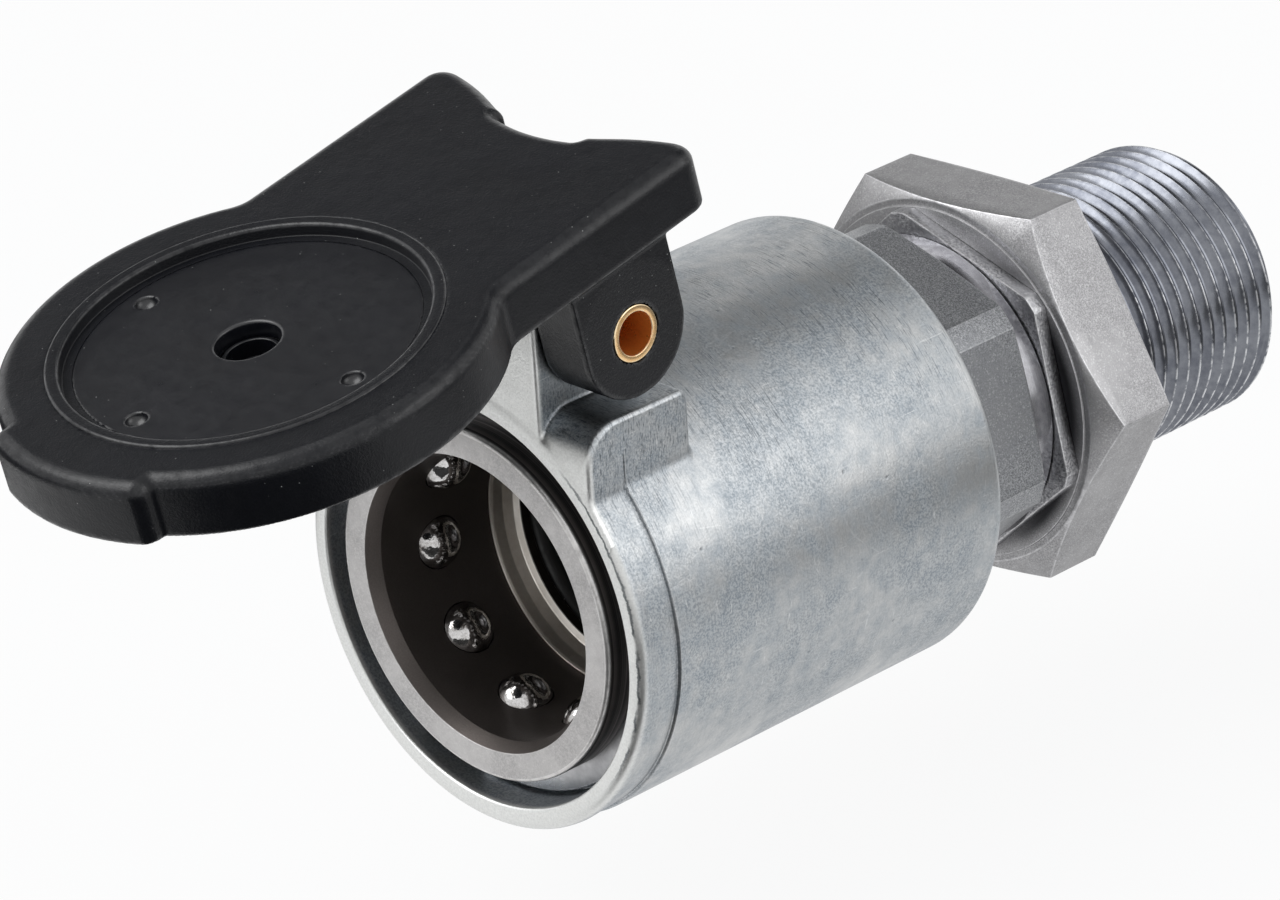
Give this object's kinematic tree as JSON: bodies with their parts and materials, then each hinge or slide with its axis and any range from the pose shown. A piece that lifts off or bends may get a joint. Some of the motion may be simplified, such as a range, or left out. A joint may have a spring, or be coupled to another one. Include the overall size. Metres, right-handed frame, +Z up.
{
  "type": "bulkhead quick coupling",
  "caption": "Bulkhead quick-release hydraulic socket: sliding ball-lock sleeve, hinged dust cap, sprung poppet, hexagon, thin flange, panel nut and threaded tail for a tube cone.",
  "frame": {"origin": "on the coupling's axis at the panel seat, the rear face of the thin flange", "axes": "+Y along the axis towards the threaded tail, -Y out of the mouth, +Z up through the cap's hinge, +X along the hinge tube"},
  "size_m": [0.0386, 0.1232, 0.0565],
  "materials": {
    "sleeve_zinc": "mottled zinc plate, worn bright on the edges",
    "cage_steel": "blasted, with a dark phosphated bore",
    "ball_steel": "polished",
    "seat_nickel": "satin nickel",
    "dark_steel": "hardened, dark",
    "plain_steel": "turned",
    "spring_steel": "drawn wire",
    "hinge_brass": "bright",
    "black_rubber": "matte",
    "white_plastic": "smooth",
    "adapter_zinc": "zinc plated, fine blasted grain",
    "nut_zinc": "zinc plated, fine blasted grain",
    "cap_black": "satin black",
    "disc_black": "smooth black"
  },
  "bodies": {
    "body": {"coupling_body": "cage_steel", "locking_balls": "ball_steel", "seat_ring": "seat_nickel", "bore_seal": "black_rubber", "backup_ring": "white_plastic", "stop_ring": "spring_steel", "joint_seal": "black_rubber", "poppet_guide": "plain_steel", "poppet_spring": "spring_steel", "adapter_body": "adapter_zinc"},
    "spring_seat": {"spring_washer": "plain_steel", "sleeve_spring": "spring_steel"},
    "sleeve": {"outer_sleeve": "sleeve_zinc", "locking_ring": "dark_steel", "hinge_tube": "hinge_brass"},
    "cap": {"dust_cap": "cap_black", "cap_insert": "disc_black", "cap_plug": "cap_black", "cap_lip": "black_rubber"},
    "poppet": {"poppet": "plain_steel", "poppet_seal": "black_rubber"},
    "nut": {"bulkhead_nut": "nut_zinc"}
  },
  "joints": [
    {"name": "sleeve_turn", "type": "hinge", "parent": "body", "child": "spring_seat", "pos_m": [0, -0.0221, 0], "axis": [0, 1, 0], "continuous": true},
    {"name": "sleeve_slide", "type": "slide", "parent": "spring_seat", "child": "sleeve", "axis": [0, 1, 0], "range_m": [0, 0.0065], "stiffness_N_per_m": 2500, "deforming": ["sleeve_spring"]},
    {"name": "cap_hinge", "type": "hinge", "parent": "sleeve", "child": "cap", "pos_m": [0, -0.0481, 0.02465], "axis": [-1, 0, 0], "range_deg": [-77.75, 82]},
    {"name": "poppet_slide", "type": "slide", "parent": "body", "child": "poppet", "axis": [0, 1, 0], "range_m": [0, 0.006], "stiffness_N_per_m": 1200, "deforming": ["poppet_spring"]},
    {"name": "nut_travel", "type": "slide", "parent": "body", "child": "nut", "axis": [0, 1, 0], "range_m": [0, 0.0201]}
  ]
}
